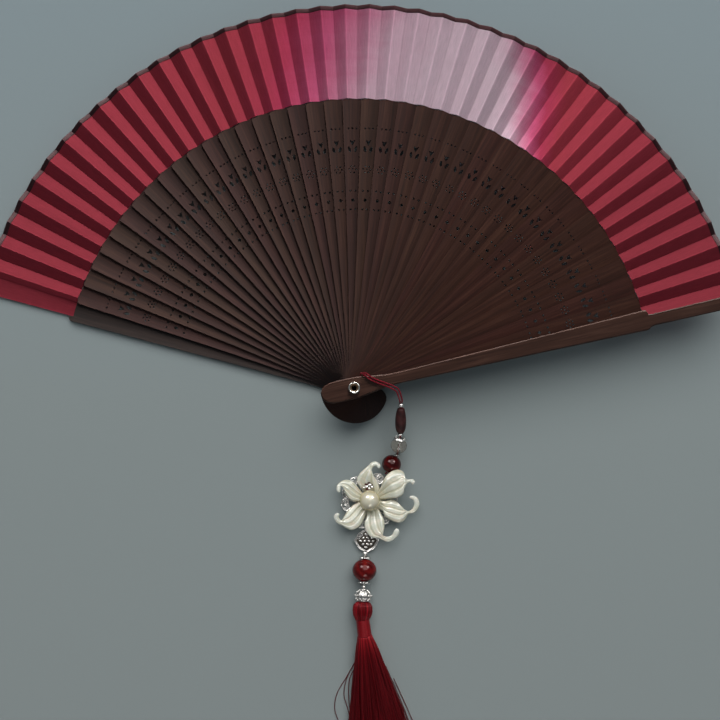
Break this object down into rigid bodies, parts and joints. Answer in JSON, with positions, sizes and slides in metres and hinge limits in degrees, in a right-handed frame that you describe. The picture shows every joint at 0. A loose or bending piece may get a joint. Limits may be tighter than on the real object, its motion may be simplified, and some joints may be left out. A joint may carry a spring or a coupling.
{
  "type": "hand fan",
  "caption": "Pleated folding hand fan with pierced wooden sticks, two guards, an edge binding, and a beaded flower pendant with a tassel on the rivet.",
  "frame": {"origin": "on the rivet axis, in the plane of the rear guard's underside", "axes": "+Z along the rivet towards the front guard, +Y through the middle of the open leaf, +X to the front guard's side"},
  "size_m": [0.3769, 0.4023, 0.029],
  "materials": {
    "rib": "dark red-brown stained bamboo, satin",
    "guard": "dark red-brown stained bamboo, satin",
    "rivet": "polished silver-coloured metal",
    "silk": "dyed silk, deep red fading to pale pink",
    "binding": "dark brown paper-backed ribbon",
    "cord": "dark red twisted cord",
    "silver": "aged silver-coloured metal",
    "agate": "polished dark red-brown stone",
    "crystal": "clear faceted glass",
    "shell": "mother of pearl",
    "pearl": "pearl lustre",
    "thread": "dark red silk thread"
  },
  "bodies": {
    "fan_root": {"front_guard": "guard", "pivot_eyelet": "rivet", "silk_leaf": "silk", "leaf_edge_binding": "binding", "cord_loop": "cord"},
    "rib_01": {"rib_01": "rib"},
    "rib_02": {"rib_02": "rib"},
    "rib_03": {"rib_03": "rib"},
    "rib_04": {"rib_04": "rib"},
    "rib_05": {"rib_05": "rib"},
    "rib_06": {"rib_06": "rib"},
    "rib_07": {"rib_07": "rib"},
    "rib_08": {"rib_08": "rib"},
    "rib_09": {"rib_09": "rib"},
    "rib_10": {"rib_10": "rib"},
    "rib_11": {"rib_11": "rib"},
    "rib_12": {"rib_12": "rib"},
    "rib_13": {"rib_13": "rib"},
    "rib_14": {"rib_14": "rib"},
    "rib_15": {"rib_15": "rib"},
    "rib_16": {"rib_16": "rib"},
    "rib_17": {"rib_17": "rib"},
    "rib_18": {"rib_18": "rib"},
    "rib_19": {"rib_19": "rib"},
    "rib_20": {"rib_20": "rib"},
    "rib_21": {"rib_21": "rib"},
    "rib_22": {"rib_22": "rib"},
    "rib_23": {"rib_23": "rib"},
    "rib_24": {"rib_24": "rib"},
    "rib_25": {"rib_25": "rib"},
    "rib_26": {"rib_26": "rib"},
    "rib_27": {"rib_27": "rib"},
    "rib_28": {"rib_28": "rib"},
    "rib_29": {"rib_29": "rib"},
    "rib_30": {"rib_30": "rib"},
    "rib_31": {"rib_31": "rib"},
    "rib_32": {"rib_32": "rib"},
    "rib_33": {"rib_33": "rib"},
    "rib_34": {"rib_34": "rib"},
    "rib_35": {"rib_35": "rib"},
    "rib_36": {"rib_36": "rib"},
    "rib_37": {"rib_37": "rib"},
    "rib_38": {"rib_38": "rib"},
    "rib_39": {"rib_39": "rib"},
    "rib_40": {"rib_40": "rib"},
    "rear_guard": {"rear_guard": "guard"},
    "strand": {"strand_cord": "cord", "upper_silver_fittings": "silver"},
    "barrel_bead": {"barrel_bead": "agate"},
    "crystal_bead": {"crystal_bead": "crystal"},
    "upper_round_bead": {"upper_round_bead": "agate"},
    "flower": {"flower_backing": "silver", "shell_flower": "shell", "centre_pearl": "pearl", "pearl_claw": "silver"},
    "drop": {"filigree_drop": "silver"},
    "tassel": {"lower_silver_fittings": "silver", "tassel_head": "thread", "tassel_skirt": "thread"},
    "lower_round_bead": {"lower_round_bead": "agate"}
  },
  "joints": [
    {"name": "fan_fold", "type": "hinge", "parent": "fan_root", "child": "rib_01", "pos_m": [0, 0, 0], "axis": [0, 0, 1], "range_deg": [-3.68, 0], "deforming": ["silk_leaf", "leaf_edge_binding"]},
    {"name": "fold_02", "type": "hinge", "parent": "rib_01", "child": "rib_02", "pos_m": [0, 0, 0], "axis": [0, 0, 1], "range_deg": [-3.68, 0]},
    {"name": "fold_03", "type": "hinge", "parent": "rib_02", "child": "rib_03", "pos_m": [0, 0, 0], "axis": [0, 0, 1], "range_deg": [-3.68, 0]},
    {"name": "fold_04", "type": "hinge", "parent": "rib_03", "child": "rib_04", "pos_m": [0, 0, 0], "axis": [0, 0, 1], "range_deg": [-3.68, 0]},
    {"name": "fold_05", "type": "hinge", "parent": "rib_04", "child": "rib_05", "pos_m": [0, 0, 0], "axis": [0, 0, 1], "range_deg": [-3.68, 0]},
    {"name": "fold_06", "type": "hinge", "parent": "rib_05", "child": "rib_06", "pos_m": [0, 0, 0], "axis": [0, 0, 1], "range_deg": [-3.68, 0]},
    {"name": "fold_07", "type": "hinge", "parent": "rib_06", "child": "rib_07", "pos_m": [0, 0, 0], "axis": [0, 0, 1], "range_deg": [-3.68, 0]},
    {"name": "fold_08", "type": "hinge", "parent": "rib_07", "child": "rib_08", "pos_m": [0, 0, 0], "axis": [0, 0, 1], "range_deg": [-3.68, 0]},
    {"name": "fold_09", "type": "hinge", "parent": "rib_08", "child": "rib_09", "pos_m": [0, 0, 0], "axis": [0, 0, 1], "range_deg": [-3.68, 0]},
    {"name": "fold_10", "type": "hinge", "parent": "rib_09", "child": "rib_10", "pos_m": [0, 0, 0], "axis": [0, 0, 1], "range_deg": [-3.68, 0]},
    {"name": "fold_11", "type": "hinge", "parent": "rib_10", "child": "rib_11", "pos_m": [0, 0, 0], "axis": [0, 0, 1], "range_deg": [-3.68, 0]},
    {"name": "fold_12", "type": "hinge", "parent": "rib_11", "child": "rib_12", "pos_m": [0, 0, 0], "axis": [0, 0, 1], "range_deg": [-3.68, 0]},
    {"name": "fold_13", "type": "hinge", "parent": "rib_12", "child": "rib_13", "pos_m": [0, 0, 0], "axis": [0, 0, 1], "range_deg": [-3.68, 0]},
    {"name": "fold_14", "type": "hinge", "parent": "rib_13", "child": "rib_14", "pos_m": [0, 0, 0], "axis": [0, 0, 1], "range_deg": [-3.68, 0]},
    {"name": "fold_15", "type": "hinge", "parent": "rib_14", "child": "rib_15", "pos_m": [0, 0, 0], "axis": [0, 0, 1], "range_deg": [-3.68, 0]},
    {"name": "fold_16", "type": "hinge", "parent": "rib_15", "child": "rib_16", "pos_m": [0, 0, 0], "axis": [0, 0, 1], "range_deg": [-3.68, 0]},
    {"name": "fold_17", "type": "hinge", "parent": "rib_16", "child": "rib_17", "pos_m": [0, 0, 0], "axis": [0, 0, 1], "range_deg": [-3.68, 0]},
    {"name": "fold_18", "type": "hinge", "parent": "rib_17", "child": "rib_18", "pos_m": [0, 0, 0], "axis": [0, 0, 1], "range_deg": [-3.68, 0]},
    {"name": "fold_19", "type": "hinge", "parent": "rib_18", "child": "rib_19", "pos_m": [0, 0, 0], "axis": [0, 0, 1], "range_deg": [-3.68, 0]},
    {"name": "fold_20", "type": "hinge", "parent": "rib_19", "child": "rib_20", "pos_m": [0, 0, 0], "axis": [0, 0, 1], "range_deg": [-3.68, 0]},
    {"name": "fold_21", "type": "hinge", "parent": "rib_20", "child": "rib_21", "pos_m": [0, 0, 0], "axis": [0, 0, 1], "range_deg": [-3.68, 0]},
    {"name": "fold_22", "type": "hinge", "parent": "rib_21", "child": "rib_22", "pos_m": [0, 0, 0], "axis": [0, 0, 1], "range_deg": [-3.68, 0]},
    {"name": "fold_23", "type": "hinge", "parent": "rib_22", "child": "rib_23", "pos_m": [0, 0, 0], "axis": [0, 0, 1], "range_deg": [-3.68, 0]},
    {"name": "fold_24", "type": "hinge", "parent": "rib_23", "child": "rib_24", "pos_m": [0, 0, 0], "axis": [0, 0, 1], "range_deg": [-3.68, 0]},
    {"name": "fold_25", "type": "hinge", "parent": "rib_24", "child": "rib_25", "pos_m": [0, 0, 0], "axis": [0, 0, 1], "range_deg": [-3.68, 0]},
    {"name": "fold_26", "type": "hinge", "parent": "rib_25", "child": "rib_26", "pos_m": [0, 0, 0], "axis": [0, 0, 1], "range_deg": [-3.68, 0]},
    {"name": "fold_27", "type": "hinge", "parent": "rib_26", "child": "rib_27", "pos_m": [0, 0, 0], "axis": [0, 0, 1], "range_deg": [-3.68, 0]},
    {"name": "fold_28", "type": "hinge", "parent": "rib_27", "child": "rib_28", "pos_m": [0, 0, 0], "axis": [0, 0, 1], "range_deg": [-3.68, 0]},
    {"name": "fold_29", "type": "hinge", "parent": "rib_28", "child": "rib_29", "pos_m": [0, 0, 0], "axis": [0, 0, 1], "range_deg": [-3.68, 0]},
    {"name": "fold_30", "type": "hinge", "parent": "rib_29", "child": "rib_30", "pos_m": [0, 0, 0], "axis": [0, 0, 1], "range_deg": [-3.68, 0]},
    {"name": "fold_31", "type": "hinge", "parent": "rib_30", "child": "rib_31", "pos_m": [0, 0, 0], "axis": [0, 0, 1], "range_deg": [-3.68, 0]},
    {"name": "fold_32", "type": "hinge", "parent": "rib_31", "child": "rib_32", "pos_m": [0, 0, 0], "axis": [0, 0, 1], "range_deg": [-3.68, 0]},
    {"name": "fold_33", "type": "hinge", "parent": "rib_32", "child": "rib_33", "pos_m": [0, 0, 0], "axis": [0, 0, 1], "range_deg": [-3.68, 0]},
    {"name": "fold_34", "type": "hinge", "parent": "rib_33", "child": "rib_34", "pos_m": [0, 0, 0], "axis": [0, 0, 1], "range_deg": [-3.68, 0]},
    {"name": "fold_35", "type": "hinge", "parent": "rib_34", "child": "rib_35", "pos_m": [0, 0, 0], "axis": [0, 0, 1], "range_deg": [-3.68, 0]},
    {"name": "fold_36", "type": "hinge", "parent": "rib_35", "child": "rib_36", "pos_m": [0, 0, 0], "axis": [0, 0, 1], "range_deg": [-3.68, 0]},
    {"name": "fold_37", "type": "hinge", "parent": "rib_36", "child": "rib_37", "pos_m": [0, 0, 0], "axis": [0, 0, 1], "range_deg": [-3.68, 0]},
    {"name": "fold_38", "type": "hinge", "parent": "rib_37", "child": "rib_38", "pos_m": [0, 0, 0], "axis": [0, 0, 1], "range_deg": [-3.68, 0]},
    {"name": "fold_39", "type": "hinge", "parent": "rib_38", "child": "rib_39", "pos_m": [0, 0, 0], "axis": [0, 0, 1], "range_deg": [-3.68, 0]},
    {"name": "fold_40", "type": "hinge", "parent": "rib_39", "child": "rib_40", "pos_m": [0, 0, 0], "axis": [0, 0, 1], "range_deg": [-3.68, 0]},
    {"name": "fold_41", "type": "hinge", "parent": "rib_40", "child": "rear_guard", "pos_m": [0, 0, 0], "axis": [0, 0, 1], "range_deg": [-3.68, 0]},
    {"name": "strand_swing", "type": "hinge", "parent": "fan_root", "child": "strand", "pos_m": [0.0229, -0.0074, 0.0196], "axis": [0, 0, 1], "range_deg": [-12, 12]},
    {"name": "barrel_spin", "type": "hinge", "parent": "strand", "child": "barrel_bead", "pos_m": [0.02285, -0.01523, 0.01568], "axis": [-0.0059, -0.8968, -0.4425], "continuous": true},
    {"name": "crystal_spin", "type": "hinge", "parent": "strand", "child": "crystal_bead", "pos_m": [0.02204, -0.02737, 0.00957], "axis": [-0.1492, -0.8768, -0.4571], "continuous": true},
    {"name": "upper_bead_spin", "type": "hinge", "parent": "strand", "child": "upper_round_bead", "pos_m": [0.01848, -0.0365, 0.006], "axis": [-0.5331, -0.823, -0.1964], "continuous": true},
    {"name": "flower_swing", "type": "hinge", "parent": "strand", "child": "flower", "pos_m": [0.0143, -0.0424, 0.004], "axis": [0, 0, 1], "range_deg": [-10, 10]},
    {"name": "drop_swing", "type": "hinge", "parent": "flower", "child": "drop", "pos_m": [0.0065, -0.0696, 0.003], "axis": [0, 0, 1], "range_deg": [-10, 10]},
    {"name": "tassel_swing", "type": "hinge", "parent": "drop", "child": "tassel", "pos_m": [0.0055, -0.079, 0.00615], "axis": [0, 0, 1], "range_deg": [-12, 12]},
    {"name": "lower_bead_spin", "type": "hinge", "parent": "tassel", "child": "lower_round_bead", "pos_m": [0.00503, -0.08879, 0.00615], "axis": [-0.048, -0.9988, 0], "continuous": true}
  ],
  "couplings": [
    {"joint": "fold_02", "follows": "fan_fold", "ratio": 1},
    {"joint": "fold_03", "follows": "fan_fold", "ratio": 1},
    {"joint": "fold_04", "follows": "fan_fold", "ratio": 1},
    {"joint": "fold_05", "follows": "fan_fold", "ratio": 1},
    {"joint": "fold_06", "follows": "fan_fold", "ratio": 1},
    {"joint": "fold_07", "follows": "fan_fold", "ratio": 1},
    {"joint": "fold_08", "follows": "fan_fold", "ratio": 1},
    {"joint": "fold_09", "follows": "fan_fold", "ratio": 1},
    {"joint": "fold_10", "follows": "fan_fold", "ratio": 1},
    {"joint": "fold_11", "follows": "fan_fold", "ratio": 1},
    {"joint": "fold_12", "follows": "fan_fold", "ratio": 1},
    {"joint": "fold_13", "follows": "fan_fold", "ratio": 1},
    {"joint": "fold_14", "follows": "fan_fold", "ratio": 1},
    {"joint": "fold_15", "follows": "fan_fold", "ratio": 1},
    {"joint": "fold_16", "follows": "fan_fold", "ratio": 1},
    {"joint": "fold_17", "follows": "fan_fold", "ratio": 1},
    {"joint": "fold_18", "follows": "fan_fold", "ratio": 1},
    {"joint": "fold_19", "follows": "fan_fold", "ratio": 1},
    {"joint": "fold_20", "follows": "fan_fold", "ratio": 1},
    {"joint": "fold_21", "follows": "fan_fold", "ratio": 1},
    {"joint": "fold_22", "follows": "fan_fold", "ratio": 1},
    {"joint": "fold_23", "follows": "fan_fold", "ratio": 1},
    {"joint": "fold_24", "follows": "fan_fold", "ratio": 1},
    {"joint": "fold_25", "follows": "fan_fold", "ratio": 1},
    {"joint": "fold_26", "follows": "fan_fold", "ratio": 1},
    {"joint": "fold_27", "follows": "fan_fold", "ratio": 1},
    {"joint": "fold_28", "follows": "fan_fold", "ratio": 1},
    {"joint": "fold_29", "follows": "fan_fold", "ratio": 1},
    {"joint": "fold_30", "follows": "fan_fold", "ratio": 1},
    {"joint": "fold_31", "follows": "fan_fold", "ratio": 1},
    {"joint": "fold_32", "follows": "fan_fold", "ratio": 1},
    {"joint": "fold_33", "follows": "fan_fold", "ratio": 1},
    {"joint": "fold_34", "follows": "fan_fold", "ratio": 1},
    {"joint": "fold_35", "follows": "fan_fold", "ratio": 1},
    {"joint": "fold_36", "follows": "fan_fold", "ratio": 1},
    {"joint": "fold_37", "follows": "fan_fold", "ratio": 1},
    {"joint": "fold_38", "follows": "fan_fold", "ratio": 1},
    {"joint": "fold_39", "follows": "fan_fold", "ratio": 1},
    {"joint": "fold_40", "follows": "fan_fold", "ratio": 1},
    {"joint": "fold_41", "follows": "fan_fold", "ratio": 1}
  ]
}
